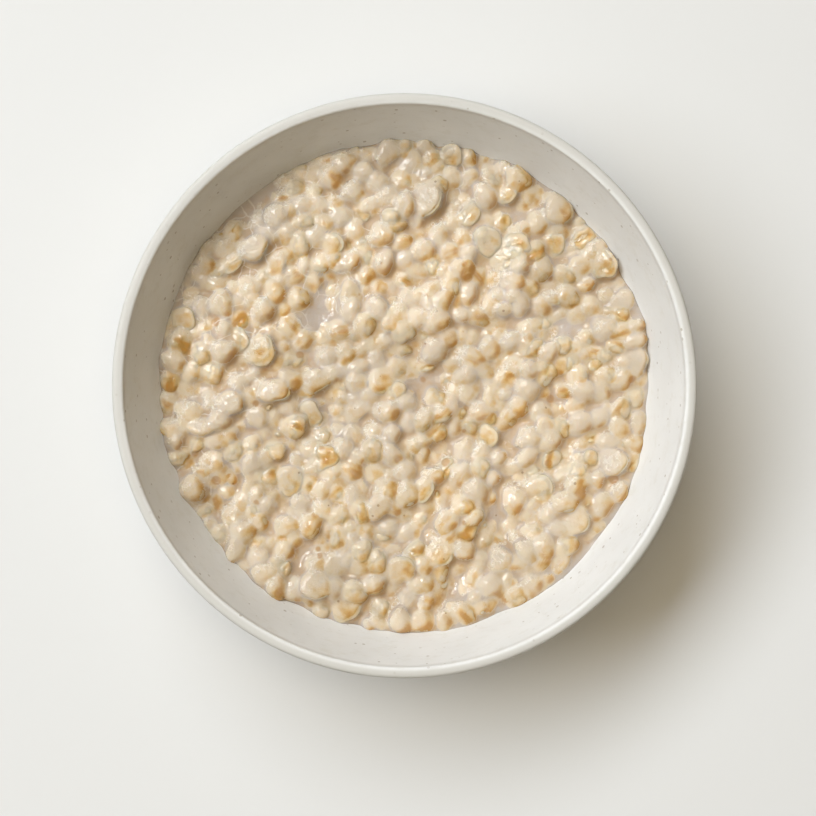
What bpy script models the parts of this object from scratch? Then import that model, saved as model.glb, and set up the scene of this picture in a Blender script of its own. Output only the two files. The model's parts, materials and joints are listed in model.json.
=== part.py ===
"""A stoneware bowl filled with oat porridge.

Two pieces, in metres, +Z up. The origin is on the table, in the middle of the
foot ring.

  bowl      one turned shell: foot ring, curved belly, nearly straight upper
            wall and a rounded lip
  porridge  one solid that fills the bowl up to its uneven, lumpy surface, just
            clear of the bowl's inside
"""

import math
import random

import bmesh
import bpy
from mathutils import Vector, noise

# ---------------------------------------------------------------- sizes
# bowl
RIM_RADIUS = 0.0800        # outside of the lip
HEIGHT = 0.0520            # table to the top of the lip
LIP_THICKNESS = 0.0032     # the lip is a half round of this width
FLOOR_TOP = 0.0070         # inside bottom, above the table
FLOOR_SPREAD = 0.0660      # how far the inside's curve reaches along the floor
WALL_REACH = 0.0300        # and down the wall
WALL_ANGLE = 70.0          # inner wall at the lip, from the horizontal
BELLY_THICKNESS = 0.0050   # the wall thickens to this towards the foot
BASE_RECESS = 0.0028       # underside inside the foot ring
FOOT_RADIUS = 0.0375       # outside of the foot ring, where it meets the belly
FOOT_TAPER = 0.0010        # the ring is this much narrower at the table
FOOT_WIDTH = 0.0054        # the ring, across
FOOT_EDGE = 0.0006         # chamfer on the ring's edges
STEPS = 64                 # facets round the bowl

# porridge
GAP = 0.0003               # between the porridge and the bowl
LEVEL = HEIGHT - 0.0216    # mean height of the porridge at the wall
SURFACE_RADIUS = 0.0690    # where that level meets the wall
CROWN = 0.0012             # the heap is this much higher in the middle
SWELL = 0.0015             # long ridges that the spoon left
RIDGE_LENGTH = 0.030
RIDGE_WIDTH = 0.0125
RIDGE_ANGLE = 45.0
CLUMP = 0.0030             # the oats lie heaped in clumps along the ridges
CLUMP_LENGTH = 0.0125
CLUMP_WIDTH = 0.0072
HEAP_EDGE = 0.24           # how softly the clumps thin out
SUNK = 0.00045             # the milk stands this much lower between them
OAT_HALF = (0.0021, 0.0039)   # half lengths of the oats
OAT_SPACING = 0.72         # neighbours' distance over the sum of their half widths
OAT_TURN = 50.0            # most of them lie along the ridges
OAT_SEED = 11
ROW_STRETCH = 1.06         # rows a little further apart than equal triangles need
CELL = 0.00275             # side of the modelled surface's triangles

LIP = LIP_THICKNESS / 2
SHOULDER = HEIGHT - LIP    # where the lip's half round starts


# ---------------------------------------------------------------- helpers
def clear_scene():
    for obj in list(bpy.data.objects):
        bpy.data.objects.remove(obj, do_unlink=True)


def new_collection(name):
    made = bpy.data.collections.new(name)
    bpy.context.scene.collection.children.link(made)
    return made


def material(name, colour, roughness):
    made = bpy.data.materials.new(name)
    made.use_nodes = True
    shader = made.node_tree.nodes["Principled BSDF"]
    shader.inputs["Base Color"].default_value = (*colour, 1.0)
    shader.inputs["Roughness"].default_value = roughness
    shader.inputs["Metallic"].default_value = 0.0
    made.diffuse_color = (*colour, 1.0)
    return made


def bezier(p0, p1, p2, p3, count):
    """count + 1 points of a cubic, both ends included."""
    found = []
    for i in range(count + 1):
        t = i / count
        s = 1 - t
        found.append(tuple(
            s**3 * a + 3 * s * s * t * b + 3 * s * t * t * c + t**3 * d
            for a, b, c, d in zip(p0, p1, p2, p3)))
    return found


def inner_wall(count):
    """Inside of the bowl, from the middle of its floor up to the lip."""
    top = (RIM_RADIUS - LIP_THICKNESS, SHOULDER)
    a = math.radians(WALL_ANGLE)
    return bezier((0.0, FLOOR_TOP), (FLOOR_SPREAD, FLOOR_TOP),
                  (top[0] - WALL_REACH * math.cos(a), top[1] - WALL_REACH * math.sin(a)),
                  top, count)


def outer_wall(count):
    """Outside of the bowl, from the lip down to the foot ring: the inside moved
    out by the wall's thickness, which grows from the lip to the belly."""
    fine = inner_wall(240)
    line = []
    for i in range(len(fine) - 1, 0, -1):
        (r0, z0), (r1, z1) = fine[i - 1], fine[min(i + 1, len(fine) - 1)]
        length = math.hypot(r1 - r0, z1 - z0)
        down = (SHOULDER - fine[i][1]) / (SHOULDER - FLOOR_TOP)
        wall = LIP_THICKNESS + (BELLY_THICKNESS - LIP_THICKNESS) * down
        r = fine[i][0] + wall * (z1 - z0) / length
        z = fine[i][1] - wall * (r1 - r0) / length
        if r < FOOT_RADIUS:
            break
        line.append((r, z))
    line[0] = (RIM_RADIUS, SHOULDER)
    # points at even distances along it
    run = [0.0]
    for (r0, z0), (r1, z1) in zip(line, line[1:]):
        run.append(run[-1] + math.hypot(r1 - r0, z1 - z0))
    found, j = [], 0
    for i in range(count + 1):
        want = run[-1] * i / count
        while j < len(run) - 2 and run[j + 1] < want:
            j += 1
        t = (want - run[j]) / (run[j + 1] - run[j])
        found.append(tuple(p + (q - p) * t for p, q in zip(line[j], line[j + 1])))
    return found


def lip(count):
    """The half round over the top of the wall, inside to outside, ends left out."""
    middle = RIM_RADIUS - LIP
    found = []
    for i in range(1, count):
        a = math.pi * (1 - i / count)
        found.append((middle + LIP * math.cos(a), SHOULDER + LIP * math.sin(a)))
    return found


def foot():
    """The foot ring's own profile, then the recess under the base to the axis."""
    outside = FOOT_RADIUS - FOOT_TAPER
    inside = outside - FOOT_WIDTH
    return [
        (outside, FOOT_EDGE),
        (outside - FOOT_EDGE, 0.0),
        (inside + FOOT_EDGE, 0.0),
        (inside, FOOT_EDGE),
        (inside - 0.0006, BASE_RECESS - 0.0008),
        (inside - 0.0018, BASE_RECESS),
        (0.0, BASE_RECESS),
    ]


def turned(name, profile, collection, mat):
    """A solid of revolution: the profile is an edge chain at +X, spun with a Screw."""
    mesh = bpy.data.meshes.new(name)
    mesh.from_pydata([(r, 0.0, z) for r, z in profile],
                     [(i, i + 1) for i in range(len(profile) - 1)], [])
    mesh.update()
    obj = bpy.data.objects.new(name, mesh)
    collection.objects.link(obj)
    spin = obj.modifiers.new("turn", "SCREW")
    spin.axis = "Z"
    spin.angle = 2 * math.pi
    spin.steps = STEPS
    spin.render_steps = STEPS
    spin.use_merge_vertices = True
    spin.merge_threshold = 0.00001
    spin.use_smooth_shade = True
    mesh.materials.append(mat)
    return obj


# ---------------------------------------------------------------- the surface
def along_ridge(x, y):
    a = math.radians(RIDGE_ANGLE)
    return x * math.cos(a) + y * math.sin(a), -x * math.sin(a) + y * math.cos(a)


def level(x, y):
    """Long uneven ridges, a low crown, and a dip where the milk meets the wall."""
    u, v = along_ridge(x, y)
    ridge = noise.noise(Vector((u / RIDGE_LENGTH, v / RIDGE_WIDTH, 3.7)))
    ridge += 0.5 * noise.noise(Vector((u / RIDGE_LENGTH * 2.3, v / RIDGE_WIDTH * 1.9, 9.1)))
    r = math.hypot(x, y) / SURFACE_RADIUS
    edge = max(0.0, (r - 0.90) / 0.10)
    return LEVEL + CROWN * (1 - r * r) + SWELL * ridge * 1.6 - 0.0006 * edge * edge


def heap(x, y):
    """How far the oats are heaped over that level, or lie under it."""
    u, v = along_ridge(x, y)
    return CLUMP * noise.noise(Vector((u / CLUMP_LENGTH, v / CLUMP_WIDTH, 21.3)))


def swell(x, y):
    return level(x, y) + heap(x, y)


def scatter():
    """The oats that show: (x, y, half length, half width, turn, lift), spread by
    dart throwing. Big ones go in first, and small ones fill what is left."""
    rng = random.Random(OAT_SEED)
    oats, bins = [], {}
    size = 2 * OAT_HALF[1]
    for attempt in range(26000):
        share = attempt / 26000
        low, high = OAT_HALF
        half = high - (high - low) * min(1.0, share * 1.25) * rng.uniform(0.55, 1.0)
        r = (SURFACE_RADIUS - 0.55 * half) * math.sqrt(rng.random())
        a = rng.uniform(0, 2 * math.pi)
        x, y = r * math.cos(a), r * math.sin(a)
        width = half * rng.uniform(0.66, 0.95)
        turn = rng.gauss(math.radians(OAT_TURN), 0.75)
        lift = rng.uniform(-0.30, 0.38)
        if rng.random() > (heap(x, y) / CLUMP + HEAP_EDGE) / (2 * HEAP_EDGE):
            continue
        key = (int(x // size), int(y // size))
        near = [o for i in (-1, 0, 1) for j in (-1, 0, 1)
                for o in bins.get((key[0] + i, key[1] + j), ())]
        if all(math.hypot(x - o[0], y - o[1]) > OAT_SPACING * (width + o[3])
               for o in near):
            oat = (x, y, half, width, turn, lift)
            oats.append(oat)
            bins.setdefault(key, []).append(oat)
    return oats, bins, size


def surface_height(x, y, bins, size):
    """Height of the porridge at a place: the milk, and each oat's dome over it."""
    milk = level(x, y) - SUNK + 0.15 * heap(x, y)
    top = milk
    key = (int(x // size), int(y // size))
    for i in (-1, 0, 1):
        for j in (-1, 0, 1):
            for ox, oy, half, width, turn, lift in bins.get((key[0] + i, key[1] + j), ()):
                c, s = math.cos(turn), math.sin(turn)
                dx, dy = x - ox, y - oy
                p = (dx * c + dy * s) / half
                q = (-dx * s + dy * c) / width
                d = p * p + q * q
                if d < 1.4:
                    # a round back, running out in a soft skirt of milk
                    back = max(0.0, 1 - d / 1.4) ** 0.8
                    dome = milk + back * (swell(ox, oy) - milk + width * (lift + 0.66))
                    top = max(top, dome)
    return top


# ---------------------------------------------------------------- build
clear_scene()
pieces = new_collection("bowl_of_porridge")
cutters = new_collection("cutters")

stoneware = material("glazed_stoneware", (0.80, 0.78, 0.73), 0.38)
oatmeal = material("oat_porridge", (0.76, 0.62, 0.42), 0.35)

# the bowl: floor, inner wall, lip, outer wall, foot ring, base
INNER_COUNT = 10
inner = inner_wall(INNER_COUNT)
profile = inner + lip(6) + outer_wall(8) + foot()
bowl = turned("bowl", profile, pieces, stoneware)

# the room for porridge: the bowl's inside, moved in by the gap
room = []
for i, (r, z) in enumerate(inner):
    before = inner[max(0, i - 1)]
    after = inner[min(len(inner) - 1, i + 1)]
    run, rise = after[0] - before[0], after[1] - before[1]
    length = math.hypot(run, rise)
    if i == 0:
        room.append((0.0, z + GAP))
    else:
        room.append((r - GAP * rise / length, z + GAP * run / length))

# what the porridge solid is cut from: the turned room, closed over the top
body = [(0.0, room[-1][1])] + room[::-1]
fill = turned("fill", body, cutters, oatmeal)

# the lumpy surface: a grid lifted by surface_height, and pulled down to a block
oats, bins, size = scatter()
columns = 2 * round(0.0780 / CELL)
half_side = columns * CELL / 2
bm = bmesh.new()
bmesh.ops.create_grid(bm, x_segments=columns, y_segments=columns, size=half_side)
# every second row moves along by half a side, so that the triangles are equal
for vert in bm.verts:
    row = round(vert.co.y / CELL)
    vert.co.x += CELL / 2 if row % 2 else 0.0
    vert.co.y *= math.sqrt(3) / 2 * ROW_STRETCH
bmesh.ops.triangulate(bm, faces=bm.faces[:], quad_method="SHORT_EDGE")
for vert in bm.verts:
    # the mean over the vertex's own cell, so that no dome's rim turns into a spike
    parts = [surface_height(vert.co.x + i * CELL / 4, vert.co.y + j * CELL / 4, bins, size)
             for i in (-1, 0, 1) for j in (-1, 0, 1)]
    vert.co.z = sum(parts) / len(parts)
grown = bmesh.ops.extrude_face_region(bm, geom=bm.faces[:])
for item in grown["geom"]:
    if isinstance(item, bmesh.types.BMVert):
        item.co.z = -0.004
bmesh.ops.recalc_face_normals(bm, faces=bm.faces[:])
block_mesh = bpy.data.meshes.new("block")
bm.to_mesh(block_mesh)
bm.free()
block = bpy.data.objects.new("block", block_mesh)
cutters.objects.link(block)

# the porridge: the room's solid under that surface
bpy.context.view_layer.update()
graph = bpy.context.evaluated_depsgraph_get()
porridge_mesh = bpy.data.meshes.new_from_object(fill.evaluated_get(graph))
porridge_mesh.name = "porridge"
porridge = bpy.data.objects.new("porridge", porridge_mesh)
pieces.objects.link(porridge)
cut = porridge.modifiers.new("surface", "BOOLEAN")
cut.operation = "INTERSECT"
cut.solver = "EXACT"
cut.object = block

for helper in (fill, block):
    helper.hide_render = True
    helper.display_type = "WIRE"

# both pieces hang from one empty on the table, under the middle of the bowl
origin = bpy.data.objects.new("bowl_of_porridge_origin", None)
origin.empty_display_size = 0.02
pieces.objects.link(origin)
for piece in (bowl, porridge):
    piece.parent = origin
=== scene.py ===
import json
import math
import random

import bpy
import numpy as np
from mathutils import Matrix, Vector, noise

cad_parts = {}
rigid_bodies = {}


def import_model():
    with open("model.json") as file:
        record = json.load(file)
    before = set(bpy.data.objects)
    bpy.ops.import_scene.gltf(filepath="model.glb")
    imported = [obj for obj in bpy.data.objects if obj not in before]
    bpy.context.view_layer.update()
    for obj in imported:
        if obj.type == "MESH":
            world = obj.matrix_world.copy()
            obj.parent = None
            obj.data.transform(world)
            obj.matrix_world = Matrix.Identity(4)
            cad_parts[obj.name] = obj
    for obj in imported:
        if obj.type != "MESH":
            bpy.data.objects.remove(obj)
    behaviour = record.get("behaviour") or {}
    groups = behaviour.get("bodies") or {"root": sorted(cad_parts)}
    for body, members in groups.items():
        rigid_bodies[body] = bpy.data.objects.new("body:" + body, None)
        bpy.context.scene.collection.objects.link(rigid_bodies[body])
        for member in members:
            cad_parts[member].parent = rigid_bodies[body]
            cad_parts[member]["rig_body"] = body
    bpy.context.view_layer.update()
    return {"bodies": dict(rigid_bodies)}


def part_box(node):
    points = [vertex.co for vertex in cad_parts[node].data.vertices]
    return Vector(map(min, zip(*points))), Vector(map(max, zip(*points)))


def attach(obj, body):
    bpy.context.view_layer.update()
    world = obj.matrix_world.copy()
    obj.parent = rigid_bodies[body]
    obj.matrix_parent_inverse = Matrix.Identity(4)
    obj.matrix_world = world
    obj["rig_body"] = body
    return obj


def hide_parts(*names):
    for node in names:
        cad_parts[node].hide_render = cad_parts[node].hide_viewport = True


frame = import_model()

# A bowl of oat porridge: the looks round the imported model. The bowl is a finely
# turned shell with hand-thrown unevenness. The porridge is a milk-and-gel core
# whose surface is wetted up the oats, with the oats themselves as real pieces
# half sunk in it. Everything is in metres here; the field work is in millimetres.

BOWL_LOW, BOWL_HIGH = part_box("bowl")
PORRIDGE_LOW, PORRIDGE_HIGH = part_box("porridge")

# ---------------------------------------------------------------- sizes, as in the CAD
RIM_RADIUS = (BOWL_HIGH.x - BOWL_LOW.x) / 2
HEIGHT = BOWL_HIGH.z
LIP_THICKNESS = 0.0032
FLOOR_TOP = 0.0070
FLOOR_SPREAD = 0.0660
WALL_REACH = 0.0300
WALL_ANGLE = 70.0
BELLY_THICKNESS = 0.0050
BASE_RECESS = 0.0028
FOOT_RADIUS = 0.0375
FOOT_TAPER = 0.0010
FOOT_WIDTH = 0.0054
FOOT_EDGE = 0.0006
LIP = LIP_THICKNESS / 2
SHOULDER = HEIGHT - LIP
LEVEL = HEIGHT - 0.0216
SURFACE_RADIUS = 0.0690
CROWN = 0.0012
SWELL = 0.0015
RIDGE_LENGTH = 0.030
RIDGE_WIDTH = 0.0125
RIDGE_ANGLE = 45.0
CLUMP_LENGTH = 0.0125
CLUMP_WIDTH = 0.0072
CLUMP = 0.0030
OAT_HALF = (0.0021, 0.0039)
OAT_SPACING = 0.72
OAT_TURN = 50.0
OAT_SEED = 11
HEAP_EDGE = 0.24


# ---------------------------------------------------------------- clear, camera, light
for obj in list(bpy.data.objects):
    if "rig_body" not in obj and obj.name not in {o.name for o in frame["bodies"].values()}:
        bpy.data.objects.remove(obj, do_unlink=True)

scene = bpy.context.scene
scene.view_settings.view_transform = "Standard"
scene.view_settings.look = "None"

CAMERA_HEIGHT = 0.60            # over the lip
cam_data = bpy.data.cameras.new("camera")
cam_data.sensor_width = 36.0
cam_data.lens = 97.10
cam_data.clip_start, cam_data.clip_end = 0.01, 20.0
cam = bpy.data.objects.new("camera", cam_data)
scene.collection.objects.link(cam)
cam.location = (0.00096, -0.00610, HEIGHT + CAMERA_HEIGHT)
cam.rotation_euler = (0.0, 0.0, 0.0)
scene.camera = cam

LIGHT_AZIMUTH = math.radians(143)
LIGHT_ELEVATION = math.radians(56.5)
LIGHT_DISTANCE = 2.4
key_data = bpy.data.lights.new("key", "AREA")
key_data.shape = "ELLIPSE"
key_data.size = 3.40
key_data.size_y = 1.10
key_data.energy = 81.0
key_data.color = (0.865, 0.93, 1.0)
key = bpy.data.objects.new("key", key_data)
scene.collection.objects.link(key)
key.visible_glossy = False
towards = Vector((math.cos(LIGHT_AZIMUTH) * math.cos(LIGHT_ELEVATION),
                  math.sin(LIGHT_AZIMUTH) * math.cos(LIGHT_ELEVATION),
                  math.sin(LIGHT_ELEVATION)))
key.location = towards * LIGHT_DISTANCE + Vector((0, 0, 0.04))
key.rotation_euler = towards.to_track_quat("Z", "Y").to_euler()

world = bpy.data.worlds.new("world")
scene.world = world
world.use_nodes = True
background = world.node_tree.nodes["Background"]
background.inputs["Color"].default_value = (1.0, 0.84, 0.60, 1.0)
background.inputs["Strength"].default_value = 0.085

fill_data = bpy.data.lights.new("fill", "AREA")
fill_data.shape = "DISK"
fill_data.size = 1.4
fill_data.energy = 17.0
fill_data.color = (1.0, 0.85, 0.59)
fill = bpy.data.objects.new("fill", fill_data)
scene.collection.objects.link(fill)
fill.visible_glossy = False
fill.location = (-0.07, 0.05, 2.2)
fill.rotation_euler = (Vector(fill.location) - Vector((0, 0, 0.04))).to_track_quat("Z", "Y").to_euler()

# the window's own image in wet surfaces: smaller and brighter than the soft light it gives
glint_data = bpy.data.lights.new("glint", "AREA")
glint_data.shape = "ELLIPSE"
glint_data.size = 1.00
glint_data.size_y = 0.62
glint_data.energy = 42.0
glint_data.color = (0.95, 0.975, 1.0)
glint = bpy.data.objects.new("glint", glint_data)
scene.collection.objects.link(glint)
glint.visible_diffuse = False
glint.visible_transmission = False
glint.location = key.location
glint.rotation_euler = key.rotation_euler


# ---------------------------------------------------------------- helpers
def smooth(edge0, edge1, x):
    t = np.clip((x - edge0) / (edge1 - edge0), 0.0, 1.0)
    return t * t * (3 - 2 * t)


def pnoise(x, y, seed=0):
    """Gradient noise in the plane, about -0.7 to 0.7, for arrays."""
    x, y = np.asarray(x, float), np.asarray(y, float)
    xi, yi = np.floor(x).astype(np.int64), np.floor(y).astype(np.int64)
    xf, yf = x - xi, y - yi
    u = xf * xf * xf * (xf * (xf * 6 - 15) + 10)
    v = yf * yf * yf * (yf * (yf * 6 - 15) + 10)

    def grad(ix, iy, dx, dy):
        h = (ix * 374761393 + iy * 668265263 + seed * 974634777) & 0xFFFFFFFF
        h = ((h ^ (h >> 13)) * 1274126177) & 0xFFFFFFFF
        h = h ^ (h >> 16)
        a = (h & 0xFFFF) / 65536.0 * 2 * np.pi
        return np.cos(a) * dx + np.sin(a) * dy

    top = grad(xi, yi, xf, yf) * (1 - u) + grad(xi + 1, yi, xf - 1, yf) * u
    low = grad(xi, yi + 1, xf, yf - 1) * (1 - u) + grad(xi + 1, yi + 1, xf - 1, yf - 1) * u
    return top * (1 - v) + low * v


def fbm(x, y, seed=0, octaves=3, gain=0.5):
    total, amp = 0.0, 1.0
    for i in range(octaves):
        total = total + amp * pnoise(x * 2**i, y * 2**i, seed + 17 * i)
        amp *= gain
    return total


def new_mesh(name, verts, faces, attributes=None, uv=None, smooth_shading=True):
    """A mesh object from arrays: faces is one (n, 3) or (n, 4) array, or a list of them."""
    groups = faces if isinstance(faces, list) else [faces]
    groups = [np.asarray(g, np.int32) for g in groups if len(g)]
    mesh = bpy.data.meshes.new(name)
    verts = np.asarray(verts, np.float32)
    mesh.vertices.add(len(verts))
    mesh.vertices.foreach_set("co", verts.ravel())
    corners = np.concatenate([g.ravel() for g in groups])
    totals = np.concatenate([np.full(len(g), g.shape[1], np.int32) for g in groups])
    starts = np.concatenate([[0], np.cumsum(totals)[:-1]]).astype(np.int32)
    mesh.loops.add(len(corners))
    mesh.loops.foreach_set("vertex_index", corners)
    mesh.polygons.add(len(totals))
    mesh.polygons.foreach_set("loop_start", starts)
    mesh.polygons.foreach_set("loop_total", totals)
    mesh.polygons.foreach_set("use_smooth", np.full(len(totals), smooth_shading))
    mesh.update(calc_edges=True)
    mesh.validate()
    for key_name, values in (attributes or {}).items():
        attribute = mesh.attributes.new(key_name, "FLOAT", "POINT")
        attribute.data.foreach_set("value", np.asarray(values, np.float32))
    if uv is not None:
        layer = mesh.uv_layers.new(name="OFBake")
        index = np.empty(len(mesh.loops), np.int32)
        mesh.loops.foreach_get("vertex_index", index)
        layer.uv.foreach_set("vector", np.asarray(uv, np.float32)[index].ravel())
    obj = bpy.data.objects.new(name, mesh)
    scene.collection.objects.link(obj)
    return obj


def bezier(p0, p1, p2, p3, count):
    t = np.linspace(0, 1, count + 1)[:, None]
    s = 1 - t
    return (s**3 * np.array(p0) + 3 * s * s * t * np.array(p1)
            + 3 * s * t * t * np.array(p2) + t**3 * np.array(p3))


def inner_wall(count):
    top = (RIM_RADIUS - LIP_THICKNESS, SHOULDER)
    a = math.radians(WALL_ANGLE)
    return bezier((0.0, FLOOR_TOP), (FLOOR_SPREAD, FLOOR_TOP),
                  (top[0] - WALL_REACH * math.cos(a), top[1] - WALL_REACH * math.sin(a)),
                  top, count)


def resampled(line, count):
    line = np.asarray(line)
    run = np.concatenate([[0], np.cumsum(np.linalg.norm(np.diff(line, axis=0), axis=1))])
    want = np.linspace(0, run[-1], count + 1)
    return np.stack([np.interp(want, run, line[:, 0]), np.interp(want, run, line[:, 1])], 1)


FINE_WALL = inner_wall(2000)


def wall_radius(z):
    """Inner radius of the bowl at a height, in metres."""
    return np.interp(z, FINE_WALL[:, 1], FINE_WALL[:, 0])


# ---------------------------------------------------------------- the bowl
def outer_wall(count):
    fine = inner_wall(600)
    tangent = np.gradient(fine, axis=0)
    tangent /= np.linalg.norm(tangent, axis=1)[:, None]
    down = (SHOULDER - fine[:, 1]) / (SHOULDER - FLOOR_TOP)
    wall = LIP_THICKNESS + (BELLY_THICKNESS - LIP_THICKNESS) * down
    line = np.stack([fine[:, 0] + wall * tangent[:, 1], fine[:, 1] - wall * tangent[:, 0]], 1)[::-1]
    line = line[line[:, 0] >= FOOT_RADIUS]
    line[0] = (RIM_RADIUS, SHOULDER)
    return resampled(line, count)


def rounded(line, radius, count):
    """A polyline's inner corners turned into small arcs."""
    found = [np.array(line[0])]
    for a, b, c in zip(line, line[1:], line[2:]):
        a, b, c = np.array(a), np.array(b), np.array(c)
        reach = min(radius, 0.45 * np.linalg.norm(a - b), 0.45 * np.linalg.norm(c - b))
        p = b + (a - b) / np.linalg.norm(a - b) * reach
        q = b + (c - b) / np.linalg.norm(c - b) * reach
        for i in range(count + 1):
            t = i / count
            found.append((1 - t) ** 2 * p + 2 * t * (1 - t) * b + t * t * q)
    found.append(np.array(line[-1]))
    return np.array(found)


def bowl_profile():
    """(r, z) from the middle of the inside, over the lip, down to the middle of the base, and
    for each point how much of the potter's rings it takes and whether it is bare clay."""
    inner = inner_wall(84)[1:]
    middle = RIM_RADIUS - LIP
    angles = np.linspace(math.pi, 0, 19)[1:-1]
    # a lip a little squarer than a half circle
    c, s = np.cos(angles), np.sin(angles)
    lip = np.stack([middle + LIP * np.sign(c) * np.abs(c) ** 0.77, SHOULDER + LIP * s ** 0.77], 1)
    outer = outer_wall(64)
    outside = FOOT_RADIUS - FOOT_TAPER
    inside = outside - FOOT_WIDTH
    corners = [tuple(outer[-1]), (outside + 0.0002, FOOT_EDGE * 1.4), (outside - FOOT_EDGE, 0.0),
               (inside + FOOT_EDGE, 0.0), (inside, FOOT_EDGE * 1.2),
               (inside - 0.0008, BASE_RECESS - 0.0006), (inside - 0.0030, BASE_RECESS)]
    ring = rounded(corners, 0.0009, 4)[1:]
    base = np.array([(r, BASE_RECESS) for r in np.linspace(inside - 0.0034, 0.0015, 12)])
    parts = [inner, lip, outer, ring, base]
    takes = [smooth(0.0, 0.5, np.linspace(0, 1, len(inner))), np.full(len(lip), 0.0),
             smooth(0.0, 0.12, np.linspace(0, 1, len(outer))) * smooth(1.0, 0.9, np.linspace(0, 1, len(outer))),
             np.zeros(len(ring)), np.zeros(len(base))]
    return np.concatenate(parts), np.concatenate(takes), [len(p) for p in parts]


def build_bowl(segments=256):
    profile, takes, counts = bowl_profile()
    n = len(profile)
    run = np.concatenate([[0], np.cumsum(np.linalg.norm(np.diff(profile, axis=0), axis=1))])
    tangent = np.gradient(profile, axis=0)
    tangent /= np.maximum(np.linalg.norm(tangent, axis=1), 1e-9)[:, None]
    normal = np.stack([-tangent[:, 1], tangent[:, 0]], 1)     # out of the clay
    theta = np.linspace(0, 2 * np.pi, segments, endpoint=False)
    T, I = np.meshgrid(theta, np.arange(n), indexing="ij")
    R, Z = profile[I, 0], profile[I, 1]
    # the spiral left by the potter's fingers, uneven in depth
    pitch = 0.0026
    wave = np.sin(2 * np.pi * (run[I] / pitch - T / (2 * np.pi)))
    depth = 0.000030 * (0.55 + 0.9 * pnoise(run[I] / 0.011, np.sin(T) * 1.3 + 5, 3))
    move = -np.abs(depth) * (0.5 + 0.5 * wave) * takes[I]
    R2 = R + normal[I, 0] * move
    Z2 = Z + normal[I, 1] * move
    # a slightly uneven circle and lip, never past the nominal size
    high = smooth(HEIGHT - 0.034, HEIGHT - 0.0016, Z)
    out = 1 - 0.00085 * high * (0.5 + 0.5 * np.sin(2 * T + 0.8)) - 0.0004 * high * (0.5 + 0.5 * np.sin(3 * T + 2.1))
    R2 = R2 * out
    Z2 = Z2 - 0.00016 * smooth(HEIGHT - 0.019, HEIGHT, Z) * (0.5 + 0.5 * np.sin(2 * T + 4.0))
    X, Y = R2 * np.cos(T), R2 * np.sin(T)
    verts = np.stack([X.ravel(), Y.ravel(), Z2.ravel()], 1)
    first, last = len(verts), len(verts) + 1
    verts = np.concatenate([verts, [[0, 0, FLOOR_TOP], [0, 0, BASE_RECESS]]])
    a = np.arange(segments)[:, None] * n + np.arange(n - 1)[None, :]
    b = ((np.arange(segments) + 1) % segments)[:, None] * n + np.arange(n - 1)[None, :]
    quads = np.stack([a.ravel(), b.ravel(), (b + 1).ravel(), (a + 1).ravel()], 1)
    s0 = np.arange(segments) * n
    s1 = ((np.arange(segments) + 1) % segments) * n
    caps = np.concatenate([np.stack([np.full(segments, first), s1, s0], 1),
                           np.stack([np.full(segments, last), s0 + n - 1, s1 + n - 1], 1)])
    # orientation: faces look out of the clay
    bare = np.zeros(n)
    start = counts[0] + counts[1] + counts[2]
    z = profile[:, 1]
    bare[start:start + counts[3]] = smooth(0.0021, 0.0010, z[start:start + counts[3]])
    attributes = {
        "along": np.concatenate([run[I].ravel() * 1000, [0, run[-1] * 1000]]),
        "bare": np.concatenate([bare[I].ravel(), [0, 0]]),
        "lip": np.concatenate([(smooth(HEIGHT - 0.0022, HEIGHT - 0.0012, Z)
                                * smooth(RIM_RADIUS - LIP - 0.0013, RIM_RADIUS - LIP - 0.0002, R)).ravel(), [0, 0]]),
    }
    return new_mesh("stoneware_bowl", verts, [quads[:, ::-1], caps[:, ::-1]], attributes)


# ---------------------------------------------------------------- the oats' places
def along_ridge(x, y):
    a = math.radians(RIDGE_ANGLE)
    return x * math.cos(a) + y * math.sin(a), -x * math.sin(a) + y * math.cos(a)


def level(x, y):
    """Height of the thick milk at rest."""
    u, v = along_ridge(x, y)
    ridge = noise.noise(Vector((u / RIDGE_LENGTH, v / RIDGE_WIDTH, 3.7)))
    ridge += 0.5 * noise.noise(Vector((u / RIDGE_LENGTH * 2.3, v / RIDGE_WIDTH * 1.9, 9.1)))
    r = math.hypot(x, y) / SURFACE_RADIUS
    edge = max(0.0, (r - 0.90) / 0.10)
    return LEVEL + CROWN * (1 - r * r) + SWELL * ridge * 1.6 - 0.0006 * edge * edge


def heap(x, y):
    """How far the oats are heaped over it, or lie under it."""
    u, v = along_ridge(x, y)
    return CLUMP * noise.noise(Vector((u / CLUMP_LENGTH, v / CLUMP_WIDTH, 21.3)))


def swell(x, y):
    return level(x, y) + heap(x, y)


def scatter():
    rng = random.Random(OAT_SEED)
    oats, bins = [], {}
    size = 2 * OAT_HALF[1]
    for attempt in range(26000):
        share = attempt / 26000
        low, high = OAT_HALF
        half = high - (high - low) * min(1.0, share * 1.25) * rng.uniform(0.55, 1.0)
        r = (SURFACE_RADIUS - 0.55 * half) * math.sqrt(rng.random())
        a = rng.uniform(0, 2 * math.pi)
        x, y = r * math.cos(a), r * math.sin(a)
        width = half * rng.uniform(0.66, 0.95)
        turn = rng.gauss(math.radians(OAT_TURN), 0.75)
        lift = rng.uniform(-0.30, 0.38)
        if rng.random() > (heap(x, y) / CLUMP + HEAP_EDGE) / (2 * HEAP_EDGE):
            continue
        key_bin = (int(x // size), int(y // size))
        near = [o for i in (-1, 0, 1) for j in (-1, 0, 1)
                for o in bins.get((key_bin[0] + i, key_bin[1] + j), ())]
        if all(math.hypot(x - o[0], y - o[1]) > OAT_SPACING * (width + o[3]) for o in near):
            oat = (x, y, half, width, turn, lift)
            oats.append(oat)
            bins.setdefault(key_bin, []).append(oat)
    return oats


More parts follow.
